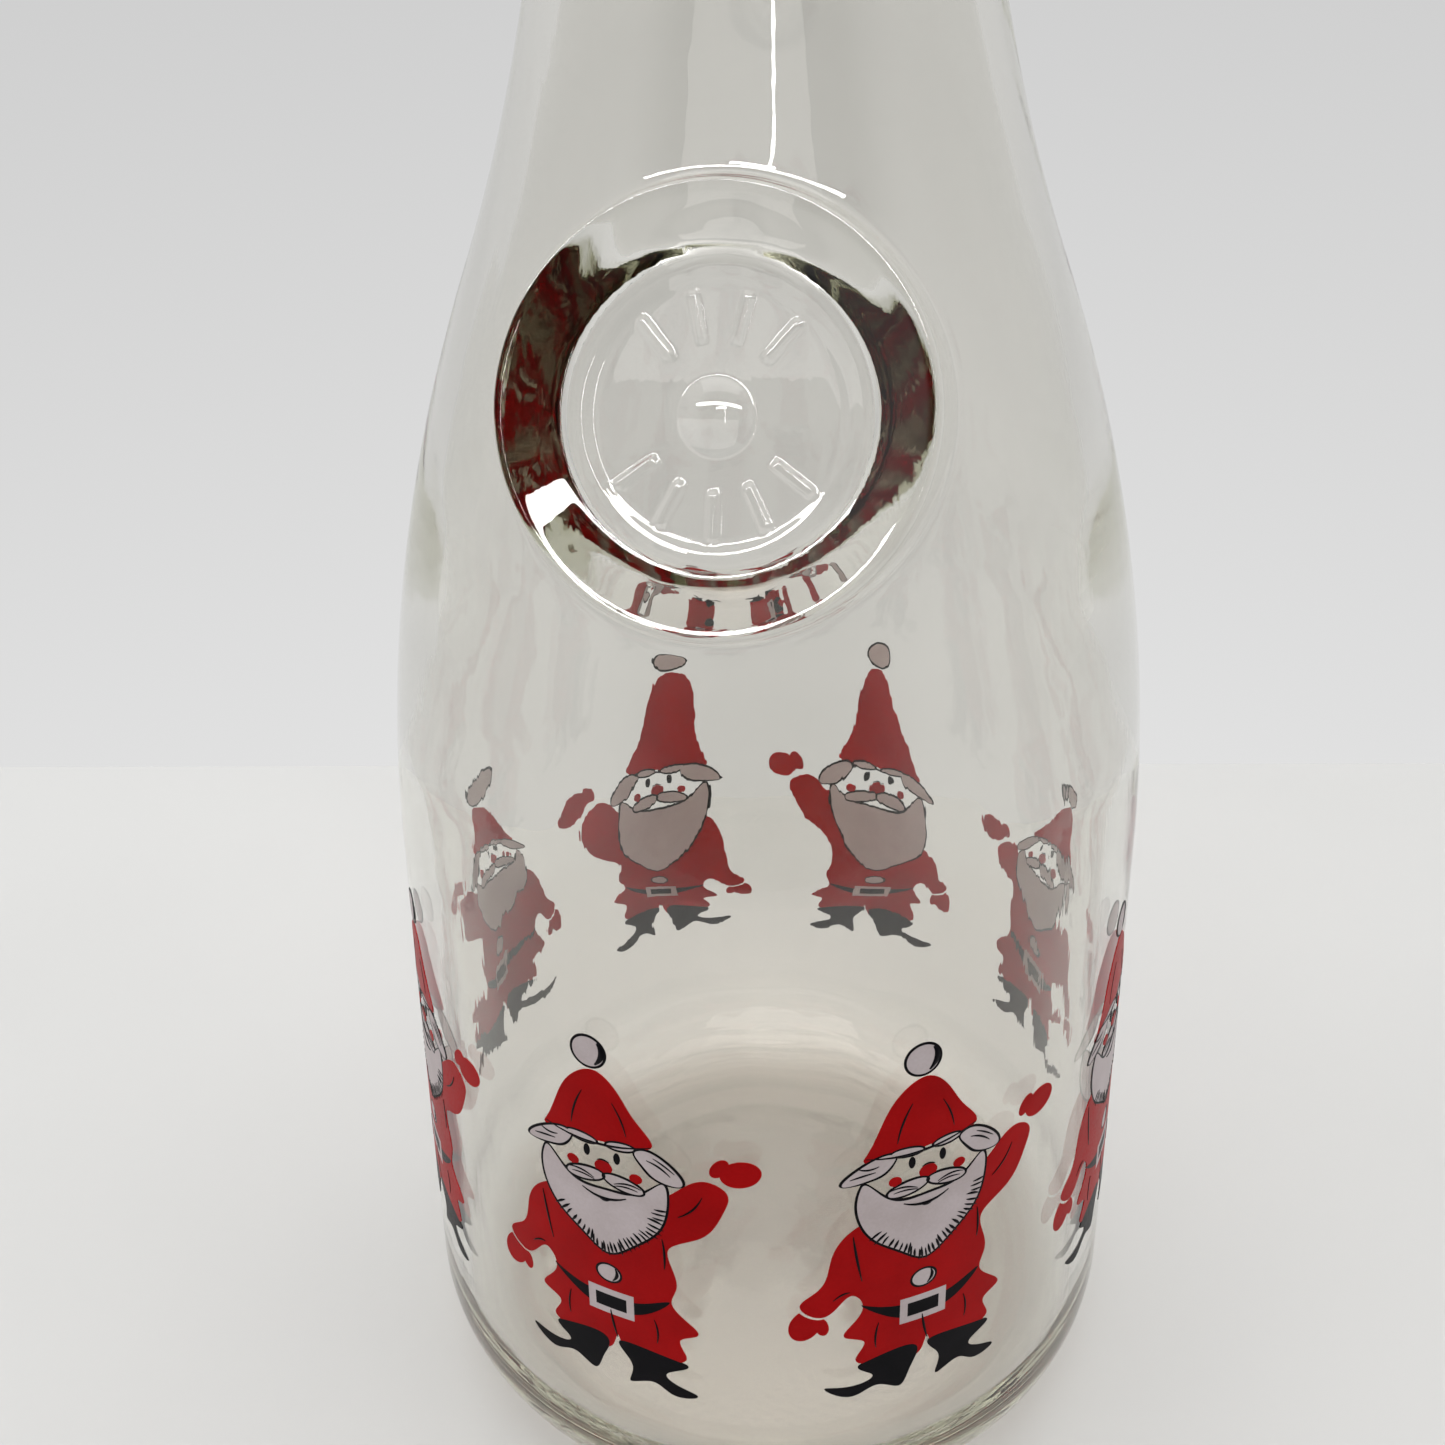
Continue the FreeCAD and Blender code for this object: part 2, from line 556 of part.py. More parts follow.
film = thin_film()
inks = {"red": press(red, film), "white": press(white, film), "black": press(black, film)}
parts = [glass]
for number in range(FIGURES):
    angle = size("print_turn") - 180.0 / FIGURES + number * 360.0 / FIGURES
    for colour, ink in inks.items():
        layer = doc.addObject("Part::Feature", "gnome_%d_%s_enamel" % (number + 1, colour))
        layer.Label = layer.Name
        layer.Shape = ink
        layer.Placement = Placement(Vector(), Rotation(Vector(0, 0, 1), angle))
        parts.append(layer)

# ---------------------------------------------------------------- check and write
doc.recompute()
for item in doc.Objects:
    if "Invalid" in item.State or "Error" in item.State:
        raise SystemExit("%s failed: %s" % (item.Name, item.State))
os.makedirs("parts", exist_ok=True)
for part in parts:
    if part.Shape.isNull() or not part.Shape.isValid():
        raise SystemExit("%s has no valid shape" % part.Label)
for part in parts:
    part.Shape.exportStep("parts/%s.step" % part.Label)
    print(part.Label, "%.3f cm3, %d solids" % (part.Shape.Volume / 1000, len(part.Shape.Solids)))
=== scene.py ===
# %% [markdown]
# # A glass milk bottle with a seal and eight printed gnomes
#
# The bottle is one piece of clear blown glass. A round seal stands on its shoulder, and eight small
# winter gnomes are printed round its body in three inks: red, white and black. This lesson builds the
# glass as one closed surface, presses the fine pen lines of the drawings onto it, gives each material
# its look, and sets up a plain table, soft light and a camera.

# %% Load the fixed frame
import math

import bpy
import numpy as np
from mathutils import Matrix, Vector


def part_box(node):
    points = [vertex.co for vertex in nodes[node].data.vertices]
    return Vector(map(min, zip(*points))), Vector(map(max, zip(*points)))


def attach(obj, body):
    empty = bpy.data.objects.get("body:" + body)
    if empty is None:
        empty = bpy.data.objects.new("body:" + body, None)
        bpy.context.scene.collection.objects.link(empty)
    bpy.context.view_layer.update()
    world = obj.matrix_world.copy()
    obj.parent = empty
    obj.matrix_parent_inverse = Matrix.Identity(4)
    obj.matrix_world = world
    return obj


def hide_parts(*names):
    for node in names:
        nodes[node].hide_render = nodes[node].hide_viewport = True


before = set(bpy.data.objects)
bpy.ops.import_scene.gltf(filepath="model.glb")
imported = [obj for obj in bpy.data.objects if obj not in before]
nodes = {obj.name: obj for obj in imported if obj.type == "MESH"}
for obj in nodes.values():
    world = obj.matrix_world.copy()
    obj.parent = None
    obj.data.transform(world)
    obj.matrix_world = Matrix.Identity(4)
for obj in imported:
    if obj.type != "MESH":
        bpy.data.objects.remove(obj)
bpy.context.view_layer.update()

print("the frame holds", len(nodes), "nodes")

# %% [markdown]
# ## The bottle's own numbers
#
# A turned shape is described by a few radii and heights. The outline is three long curves that run
# into each other: a leaning straight body, a convex shoulder and a concave neck. The same numbers
# drive the design of the part, so the surface that is made here lies where the part lies.

# %% Heights and radii, in metres
MM = 0.001
HEIGHT = 264.0 * MM
BODY_RADIUS = 50.6 * MM
HEEL_RADIUS = 15.0 * MM
FOOT_INNER = 30.0 * MM
PUSH_UP = 2.4 * MM
SHOULDER_START = 88.0 * MM
SHOULDER_START_RADIUS = 47.85 * MM
SHOULDER_ARC = 202.0 * MM
SHOULDER_END = 157.0 * MM
NECK_ARC = 178.0 * MM
BEAD = 3.2 * MM
BEAD_UNDERCUT = 0.8
WALL = 3.1 * MM
FLOOR = 6.0 * MM
MOUTH_RADIUS = 18.4 * MM
MOUTH_DEPTH = 13.0 * MM
LIP_INNER_ROUND = 1.6 * MM
PRINT_GRIP = 0.02 * MM     # the glass is this much fuller than the part, so the ink sits in it

low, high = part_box("glass_bottle")
print("the glass node is %.1f mm wide and %.1f mm tall" % ((high.x - low.x) / MM, (high.z - low.z) / MM))


# %% The outline as radius over height
def tangent_foot(centre, radius, point):
    """The point where a line from an outside point above touches a circle: the angle to the point,
    less the angle whose cosine is the radius over the distance."""
    across, up = point[0] - centre[0], point[1] - centre[1]
    angle = math.atan2(up, across) - math.acos(radius / math.hypot(across, up))
    return centre[0] + radius * math.cos(angle), centre[1] + radius * math.sin(angle)


class Outline:
    """The side of the bottle, or of its hollow when it is drawn a wall's thickness further in.

    Heel: a quarter circle. Body: a straight line that leans in. Shoulder: a circle about a point
    beyond the axis. Neck: a circle about a point outside the bottle. Each starts where the last ends,
    in the same direction."""

    def __init__(self, inset, floor):
        self.heel_radius = HEEL_RADIUS - inset
        self.heel_centre = (BODY_RADIUS - HEEL_RADIUS, floor + self.heel_radius)
        self.top = (SHOULDER_START_RADIUS - inset, SHOULDER_START)
        self.foot = tangent_foot(self.heel_centre, self.heel_radius, self.top)
        lean = math.atan2(self.foot[0] - self.top[0], self.top[1] - self.foot[1])
        self.shoulder = SHOULDER_ARC - inset
        self.shoulder_centre = (
            self.top[0] - self.shoulder * math.cos(lean), self.top[1] - self.shoulder * math.sin(lean))
        rise = SHOULDER_END - self.shoulder_centre[1]
        lean = math.asin(rise / self.shoulder)
        self.turn = (self.shoulder_centre[0] + self.shoulder * math.cos(lean), SHOULDER_END)
        self.neck = NECK_ARC + inset
        self.neck_centre = (
            self.turn[0] + self.neck * math.cos(lean), self.turn[1] + self.neck * math.sin(lean))

    def radius(self, height):
        """The radius at each height above the heel's middle, whichever curve holds there."""
        share = (height - self.foot[1]) / (self.top[1] - self.foot[1])
        body = self.foot[0] + share * (self.top[0] - self.foot[0])
        heel = self.heel_centre[0] + np.sqrt(
            np.clip(self.heel_radius ** 2 - (height - self.heel_centre[1]) ** 2, 0, None))
        shoulder = self.shoulder_centre[0] + np.sqrt(
            np.clip(self.shoulder ** 2 - (height - self.shoulder_centre[1]) ** 2, 0, None))
        neck = self.neck_centre[0] - np.sqrt(
            np.clip(self.neck ** 2 - (height - self.neck_centre[1]) ** 2, 0, None))
        return np.select(
            [height < self.foot[1], height < self.top[1], height < self.turn[1]],
            [heel, body, shoulder], neck)


outside = Outline(0.0, 0.0)
inside = Outline(WALL, FLOOR)
neck_top = HEIGHT - BEAD * (1 + BEAD_UNDERCUT)
print("radius at the shoulder's end %.2f mm, at the narrowest %.2f mm" % (
    outside.turn[0] / MM, (outside.neck_centre[0] - outside.neck) / MM))

# %% [markdown]
# ## The seal
#
# The seal is a coin of glass, about 42 mm across, that lies flat on the round shoulder. Its face is
# dished: a flat middle, a sloping ring that rises to a crest, and a steep outer side that runs into the
# shoulder with a soft fillet. At its centre is a pip, and round the pip stand nine short raised marks.
# A square grid makes a stepped edge on a circle, so the seal gets a round patch of its own: circles
# about its centre, which spread into the rectangle that is left open in the bottle's grid.

# %% The seal's own plane
SEAL_HEIGHT = 149.7 * MM
SEAL_FACE = 14.6 * MM
SEAL_CREST = 19.8 * MM
SEAL_RIM = 20.8 * MM
SEAL_RIM_LIFT = 1.9 * MM
FACE_OUT = -1.1 * MM          # the middle of the face, below the plane that touches the shoulder
SEAL_SIDE_SLOPE = 7.0
SEAL_FILLET = 1.9 * MM
PIP_RADIUS = 3.7 * MM
PIP_RISE = 1.3 * MM
MARK_LENGTH = 4.6 * MM
MARK_WIDTH = 1.0 * MM
MARK_RISE = 0.4 * MM
MARK_SOFTNESS = 0.22 * MM
MARK_RING = 9.2 * MM
MARK_STEP = math.radians(27.0)
MARKS_ABOVE = 4
MARKS_BELOW = 5

seal_tilt = math.asin((SEAL_HEIGHT - outside.shoulder_centre[1]) / SHOULDER_ARC)
seal_out = np.array([0.0, -math.cos(seal_tilt), math.sin(seal_tilt)])
seal_up = np.array([0.0, math.sin(seal_tilt), math.cos(seal_tilt)])
seal_centre = np.array([0.0, -outside.radius(np.array(SEAL_HEIGHT)), SEAL_HEIGHT])
print("the seal leans back %.1f degrees" % math.degrees(seal_tilt))


def seal_coordinates(points):
    """Across, up and out, measured from the seal's centre: three dot products."""
    offset = points - seal_centre
    return offset[..., 0], offset @ seal_up, offset @ seal_out


def seal_place(across, up, out):
    """The point at a distance across, up and out from the seal's centre."""
    return (
        seal_centre + across[..., None] * np.array([1.0, 0.0, 0.0])
        + up[..., None] * seal_up + out[..., None] * seal_out)


def shoulder_out(across, up):
    """How far out the plain shoulder lies under a point of the seal's plane: the way along the
    plane's normal is halved until the radius of the point there equals the outline's radius."""
    near = np.full(across.shape, -45.0 * MM)
    far = np.full(across.shape, 5.0 * MM)
    for _ in range(40):
        middle = (near + far) / 2
        point = seal_place(across, up, middle)
        within = np.hypot(point[..., 0], point[..., 1]) < outside.radius(point[..., 2])
        near, far = np.where(within, middle, near), np.where(within, far, middle)
    return (near + far) / 2 + PRINT_GRIP


# %% The seal's height over the distance from its centre
def smooth_step(value):
    """0 below 0, 1 above 1, and 3 t squared less 2 t cubed between."""
    t = np.clip(value, 0, 1)
    return t * t * (3 - 2 * t)


def smooth_max(first, second, blend):
    """The larger of two heights, with a fillet: half of their sum and of the root of the squared
    difference plus the squared blend."""
    return (first + second + np.sqrt((first - second) ** 2 + blend ** 2)) / 2


def soft_line(distance, corners, softness):
    """A line through corners (distance, height) with every corner rounded: the plain line, averaged
    with bell-shaped weights over a width of softness."""
    at, heights = np.array(corners).T
    steps = np.linspace(-2.5, 2.5, 21)
    weights = np.exp(-steps ** 2 / 2)
    spread = distance[..., None] + steps * softness
    return (np.interp(spread, at, heights) * weights).sum(-1) / weights.sum()


def marks(across, up):
    """The height of the nine marks: four above the pip and five below, each a flat bar with soft
    edges, turned so that it points at the pip."""
    height = np.zeros_like(across)
    soft = MARK_SOFTNESS
    for count, middle in ((MARKS_ABOVE, math.pi / 2), (MARKS_BELOW, -math.pi / 2)):
        for number in range(count):
            angle = middle + (number - (count - 1) / 2) * MARK_STEP
            along = across * math.cos(angle) + up * math.sin(angle) - MARK_RING
            beside = up * math.cos(angle) - across * math.sin(angle)
            edge = np.hypot(
                np.clip(np.abs(along) - MARK_LENGTH / 2 + soft, 0, None),
                np.clip(np.abs(beside) - MARK_WIDTH / 2 + soft, 0, None))
            height = np.maximum(height, MARK_RISE * (1 - smooth_step(edge / (2 * soft))))
    return height


COIN_SOFTNESS = 0.28 * MM
PIP_BLEND = 0.12 * MM
PIP_CUT = 0.02 * MM           # the blend's thin skirt under this height is cut off
RIM_BLEND = 1.2 * MM
coin_corners = [
    (-1.0, FACE_OUT),
    (SEAL_FACE - 3.0 * MM, FACE_OUT),
    (SEAL_FACE - 1.9 * MM, FACE_OUT + 0.45 * MM),
    (SEAL_FACE + 0.2 * MM, FACE_OUT + 0.62 * MM),
    (SEAL_CREST, SEAL_RIM_LIFT),
    (SEAL_RIM, SEAL_RIM_LIFT),
    (SEAL_RIM + 10 * MM, SEAL_RIM_LIFT - SEAL_SIDE_SLOPE * 10 * MM)]


def seal_out_at(across, up):
    """The outer surface round the seal: the coin inside its crest, the shoulder outside it, and
    the larger of the two, filleted, between."""
    distance = np.hypot(across, up)
    coin = soft_line(distance, coin_corners, COIN_SOFTNESS)
    ball = (PIP_RADIUS ** 2 + PIP_RISE ** 2) / (2 * PIP_RISE)
    pip = np.sqrt(np.clip(ball ** 2 - distance ** 2, 0, None)) - ball + PIP_RISE
    coin = coin + np.clip(smooth_max(pip, np.zeros_like(pip), PIP_BLEND) - PIP_CUT, 0, None)
    coin = coin + marks(across, up)
    joined = smooth_max(coin, shoulder_out(across, up), SEAL_FILLET)
    return coin + (joined - coin) * smooth_step((distance - SEAL_CREST) / RIM_BLEND)


SEAL_BACK = 2.3 * MM          # depth of the inner face behind the seal's middle
SEAL_BACK_RADIUS = 14.75 * MM
SEAL_BACK_ROUND = 200.0 * MM  # how gently that face is rounded across
SEAL_BACK_SLOPE = 1.38        # how steeply it falls back behind the ring
SEAL_BACK_SOFTNESS = 0.5 * MM
SEAL_BACK_BLEND = 1.39 * MM
SEAL_BACK_REACH = 24 * MM
SEAL_BACK_FADE = 6 * MM
back_corners = [
    (-1.0, -SEAL_BACK),
    (SEAL_BACK_RADIUS, -SEAL_BACK),
    (SEAL_BACK_RADIUS + 10 * MM, -SEAL_BACK - SEAL_BACK_SLOPE * 10 * MM)]


def seal_back(points):
    """The hollow behind the seal: blown glass follows the mould, so its inner face stands out in a
    flat plate behind the coin and falls back beyond it."""
    across, up, out = seal_coordinates(points)
    distance = np.hypot(across, up)
    plate = soft_line(distance, back_corners, SEAL_BACK_SOFTNESS)
    lifted = smooth_max(plate - across ** 2 / (2 * SEAL_BACK_ROUND), out, SEAL_BACK_BLEND)
    share = (points[..., 1] < 0) * smooth_step((SEAL_BACK_REACH - distance) / SEAL_BACK_FADE)
    return points + (share * (lifted - out))[..., None] * seal_out


# %% [markdown]
# ## The glass surface
#
# The glass has an outside and an inside, and both count: light bends at each. One closed grid makes
# them: it starts at the middle of the base, climbs the outside, rolls over the lip and goes down the
# inside to the middle of the floor. Blown glass is never even. Its inside is wavy, with long upright
# waves and fine ripples, and that is what makes the far side look shaky through it.

# %% Columns and rows of the grid
HOLE_HALF_ANGLE = math.radians(52.0)
HOLE_LOW = 121.0 * MM
HOLE_HIGH = 178.0 * MM
FRONT_COLUMNS = 96
BACK_COLUMNS = 104

front = -math.pi / 2
azimuth = np.concatenate([
    np.linspace(-HOLE_HALF_ANGLE, HOLE_HALF_ANGLE, FRONT_COLUMNS, endpoint=False),
    np.linspace(HOLE_HALF_ANGLE, 2 * math.pi - HOLE_HALF_ANGLE, BACK_COLUMNS, endpoint=False)]) + front
print("the grid has", len(azimuth), "columns")


def arc(centre, radius, first, last, count):
    """Points on a circle: the centre plus the radius times the cosine and sine of an even run of
    angles, in degrees."""
    angles = np.radians(np.linspace(first, last, count))
    return np.stack([centre[0] + radius * np.cos(angles), centre[1] + radius * np.sin(angles)], -1)


def side_rows(outline, heights):
    """Rows of the outline at given heights."""
    return np.stack([outline.radius(heights), heights], -1)


heel_end = math.degrees(math.asin((outside.foot[1] - outside.heel_centre[1]) / HEEL_RADIUS))
push_ball = (FOOT_INNER ** 2 + PUSH_UP ** 2) / (2 * PUSH_UP)
base_steps = np.concatenate([np.linspace(1.5, 27.0, 14), np.linspace(27.6, 30.0, 5)]) * MM
base_rows = np.stack(
    [base_steps, np.sqrt(push_ball ** 2 - base_steps ** 2) - push_ball + PUSH_UP], -1)
foot_steps = np.linspace(30.6, 35.2, 9) * MM
foot_rows = np.stack([foot_steps, np.zeros_like(foot_steps)], -1)
heel_rows = arc(outside.heel_centre, HEEL_RADIUS, -90, heel_end, 17)
body_heights = np.linspace(outside.foot[1] + 1.8 * MM, HOLE_LOW - 2 * MM, 54)
hole_heights = np.linspace(HOLE_LOW, HOLE_HIGH, 56)
neck_heights = np.linspace(HOLE_HIGH + 2 * MM, neck_top, 40)
bead_centre = (outside.radius(np.array(neck_top)) - BEAD * math.sqrt(1 - BEAD_UNDERCUT ** 2),
               HEIGHT - BEAD)
bead_rows = arc(bead_centre, BEAD, -math.degrees(math.asin(BEAD_UNDERCUT)), 90, 12)[1:]
outer_rows = np.concatenate([
    base_rows, foot_rows, heel_rows, side_rows(outside, body_heights),
    side_rows(outside, hole_heights), side_rows(outside, neck_heights), bead_rows])

lip_centre = (MOUTH_RADIUS + LIP_INNER_ROUND, HEIGHT - LIP_INNER_ROUND)
mouth_foot = HEIGHT - MOUTH_DEPTH
inner_neck_heights = np.linspace(mouth_foot, 180 * MM, 30)
inner_shoulder_heights = np.linspace(180 * MM, SHOULDER_START, 84)[1:]
inner_body_heights = np.linspace(SHOULDER_START, inside.foot[1], 24)[1:]
inner_heel_end = math.degrees(math.asin((inside.foot[1] - inside.heel_centre[1]) / inside.heel_radius))
floor_steps = np.linspace(inside.heel_centre[0], 1.5 * MM, 12)[1:]
inner_rows = np.concatenate([
    arc(lip_centre, LIP_INNER_ROUND, 90, 180, 7),
    np.stack([np.full(7, MOUTH_RADIUS), np.linspace(lip_centre[1], mouth_foot, 7)], -1)[1:],
    side_rows(inside, inner_neck_heights), side_rows(inside, inner_shoulder_heights),
    side_rows(inside, inner_body_heights),
    arc(inside.heel_centre, inside.heel_radius, inner_heel_end, -90, 12)[1:],
    np.stack([floor_steps, np.full(len(floor_steps), FLOOR)], -1)])
print("rows outside", len(outer_rows), "and inside", len(inner_rows))

# %% Waves of the blown inside
rng = np.random.default_rng(7)


def waves(angle, height, count, turns, lengths, tallness):
    """A sum of sine waves over angle and height. Each has a whole number of turns round the bottle,
    so that the pattern closes, a wavelength in height, and a random phase."""
    total = np.zeros(np.broadcast(angle, height).shape)
    for _ in range(count):
        around = rng.integers(*turns)
        wavelength = rng.uniform(*lengths) * MM
        phase, tilt = rng.uniform(0, 2 * math.pi, 2)
        total += np.sin(around * angle + 2 * math.pi * height / wavelength + phase) * np.cos(
            2 * math.pi * height / (wavelength * 2.7) + tilt)
    return tallness * total / math.sqrt(count)


WAVE_SETS = [
    # how many, turns round the bottle, lengths in millimetres, tallness
    (7, (2, 7), (50, 120), 0.10 * MM),
    (12, (9, 30), (25, 70), 0.022 * MM),
    (16, (20, 60), (3.5, 8), 0.006 * MM)]
CALM_FLOOR = 12 * MM
CALM_MOUTH = 10 * MM
BAND_SOFTNESS = 1.5 * MM
# a thicker band of wall at the foot of the shoulder, as height and extra thickness
THICK_BAND = [
    (102.5 * MM, 0.0), (108.0 * MM, 0.62 * MM), (119.0 * MM, 1.25 * MM), (123.0 * MM, 1.2 * MM),
    (134.0 * MM, 0.1 * MM), (140.0 * MM, 0.0)]


def blown(points):
    """The inner surface pushed in or out along its radius by waves and by the thick band."""
    angle = np.arctan2(points[..., 1], points[..., 0])
    height = points[..., 2]
    radius = np.hypot(points[..., 0], points[..., 1])
    calm = smooth_step((height - FLOOR) / CALM_FLOOR) * smooth_step((mouth_foot - height) / CALM_MOUTH)
    push = sum(waves(angle, height, *wave_set) for wave_set in WAVE_SETS)
    push = push - soft_line(height, THICK_BAND, BAND_SOFTNESS)
    scale = 1 + calm * push / radius
    return points * np.stack([scale, scale, np.ones_like(scale)], -1)


KNURL_RISE = 0.10 * MM
KNURL_TURNS = 62
KNURL_LENGTH = 1.9 * MM


def stippled(points):
    """The ring that the bottle stands on is knurled: small waves round and across it."""
    angle = np.arctan2(points[..., 1], points[..., 0])
    radius = np.hypot(points[..., 0], points[..., 1])
    ring = smooth_step((radius - 24 * MM) / (4 * MM)) * smooth_step((36 * MM - radius) / (2 * MM))
    bumps = np.sin(KNURL_TURNS * angle) * np.sin(radius * 2 * math.pi / KNURL_LENGTH)
    rise = KNURL_RISE * ring * (1 + bumps)
    return points + np.stack([np.zeros_like(rise), np.zeros_like(rise), rise], -1)


# %% Turn the rows round the axis
def turned(rows):
    """A grid of points: each row's radius times the cosine and sine of each column's angle."""
    radius = rows[:, None, 0]
    height = np.broadcast_to(rows[:, None, 1], (len(rows), len(azimuth)))
    return np.stack([radius * np.cos(azimuth), radius * np.sin(azimuth), height], -1)


outer = turned(outer_rows + np.array([PRINT_GRIP, 0.0]))
foot_count = len(base_rows) + len(foot_rows)
outer[:foot_count] = stippled(outer[:foot_count])
inner = seal_back(blown(turned(inner_rows)))
sheet = np.concatenate([outer, inner])
columns = len(azimuth)
sheet_index = np.arange(sheet.shape[0] * columns).reshape(sheet.shape[:2])


def quads(index, closed):
    """Four-sided faces between neighbouring rows and columns of a table of vertex numbers."""
    beside = np.roll(index, -1, 1) if closed else index[:, 1:]
    here = index if closed else index[:, :-1]
    return np.stack([here[:-1], beside[:-1], beside[1:], here[1:]], -1).reshape(-1, 4)


hole_first = foot_count + len(heel_rows) + len(body_heights)
hole_last = hole_first + len(hole_heights) - 1
faces = quads(sheet_index, True).reshape(sheet.shape[0] - 1, columns, 4)
keep = np.ones(faces.shape[:2], bool)
keep[hole_first:hole_last, :FRONT_COLUMNS] = False
glass_faces = faces[keep]
print("faces round the opening", len(glass_faces))

# %% Fill the opening with the round patch
edge_columns = np.arange(FRONT_COLUMNS + 1)
right = sheet_index[hole_first:hole_last + 1, FRONT_COLUMNS]
left = sheet_index[hole_first:hole_last + 1, 0]
edge = np.concatenate([
    sheet_index[hole_first, edge_columns[:-1]], right[:-1],
    sheet_index[hole_last, edge_columns[::-1][:-1]], left[::-1][:-1]])
edge_across, edge_up, _ = seal_coordinates(sheet.reshape(-1, 3)[edge])
edge_angle = np.arctan2(edge_up, edge_across)
ring_radii = np.concatenate([
    np.linspace(0.35, 3.2, 8), np.linspace(3.5, 4.3, 5), np.linspace(4.7, 13.3, 27),
    np.linspace(13.6, 19.0, 23), np.linspace(19.2, 22.8, 19), np.linspace(23.2, 24.6, 4)]) * MM
ring_across = ring_radii[:, None] * np.cos(edge_angle)
ring_up = ring_radii[:, None] * np.sin(edge_angle)
spread = np.linspace(0, 1, 9)[1:-1, None] ** 1.2
blend_across = ring_across[-1] + spread * (edge_across - ring_across[-1])
blend_up = ring_up[-1] + spread * (edge_up - ring_up[-1])
patch_across = np.concatenate([ring_across, blend_across])
patch_up = np.concatenate([ring_up, blend_up])
patch = seal_place(patch_across, patch_up, seal_out_at(patch_across, patch_up))
middle = seal_place(*(np.array([value]) for value in (0.0, 0.0, PIP_RISE + FACE_OUT)))

start = sheet_index.size
patch_index = start + np.arange(patch.shape[0] * patch.shape[1]).reshape(patch.shape[:2])
patch_index = np.concatenate([patch_index, edge[None]])
patch_faces = quads(patch_index, True)
pip_top = start + patch.shape[0] * patch.shape[1]
print("the seal's patch has", len(patch_faces), "faces")


# %% Join the glass into one mesh
def fan(pole, ring):
    """Triangles from a pole to a ring of vertices."""
    return np.stack([np.full(len(ring), pole), ring, np.roll(ring, -1)], -1)


def make_mesh(name, points, squares, triangles):
    """A mesh object from numpy tables of points, four-sided faces and triangles."""
    mesh = bpy.data.meshes.new(name)
    counts = np.concatenate([np.full(len(squares), 4), np.full(len(triangles), 3)])
    loops = np.concatenate([squares.ravel(), triangles.ravel()])
    mesh.vertices.add(len(points))
    mesh.vertices.foreach_set("co", points.astype(np.float32).ravel())
    mesh.loops.add(len(loops))
    mesh.loops.foreach_set("vertex_index", loops.astype(np.int32))
    mesh.polygons.add(len(counts))
    mesh.polygons.foreach_set("loop_start", (np.cumsum(counts) - counts).astype(np.int32))
    mesh.polygons.foreach_set("use_smooth", np.ones(len(counts), bool))
    mesh.update(calc_edges=True)
    mesh.validate()
    piece = bpy.data.objects.new(name, mesh)
    bpy.context.scene.collection.objects.link(piece)
    return piece


floor_pole = pip_top + 1
base_pole = pip_top + 2
glass_points = np.concatenate([
    sheet.reshape(-1, 3), patch.reshape(-1, 3), middle,
    np.array([[0.0, 0.0, FLOOR], [0.0, 0.0, PUSH_UP]])])
squares = np.concatenate([glass_faces, patch_faces[:, ::-1]])
triangles = np.concatenate([
    fan(pip_top, patch_index[0]),
    fan(floor_pole, sheet_index[-1]),
    fan(base_pole, sheet_index[0])[:, ::-1]])
glass = make_mesh("bottle_glass", glass_points, squares, triangles)


def volume(piece):
    """The space inside a closed mesh: a sixth of the sum of the triple products of its triangles'
    corners. It is above 0 where faces point outwards."""
    mesh = piece.data
    mesh.calc_loop_triangles()
    corners = np.empty(len(mesh.loop_triangles) * 3, np.int32)
    mesh.loop_triangles.foreach_get("vertices", corners)
    places = np.empty(len(mesh.vertices) * 3, np.float32)
    mesh.vertices.foreach_get("co", places)
    a, b, c = places.reshape(-1, 3)[corners.reshape(-1, 3)].astype(float).transpose(1, 0, 2)
    return (np.cross(a, b) * c).sum() / 6


print("glass volume %.1f cm3 in %d triangles" % (volume(glass) * 1e6, len(glass.data.loop_triangles)))
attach(glass, "root")
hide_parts("glass_bottle")
glass.data.set_sharp_from_angle(angle=math.radians(50))

# %% [markdown]
# ## Shader maths as Python
#
# A material is a small graph. Written out node by node, arithmetic gets long, so one class wraps a
# socket and lets Python's own signs add the Math nodes. Every other node comes from one method.


# %% One class for sockets, one for materials
class Signal:
    """A number that varies over a surface. Each sign adds one Math node."""

    def __init__(self, finish, socket):
        self.finish = finish
        self.socket = socket

    def maths(self, operation, *values):
        return self.finish.node("ShaderNodeMath", {"operation": operation}, dict(enumerate(values)))

    def __add__(self, other):
        return self.maths("ADD", self, other)

    def __rsub__(self, other):
        return self.maths("SUBTRACT", other, self)

    def __mul__(self, other):
        return self.maths("MULTIPLY", self, other)

    __radd__ = __add__
    __rmul__ = __mul__


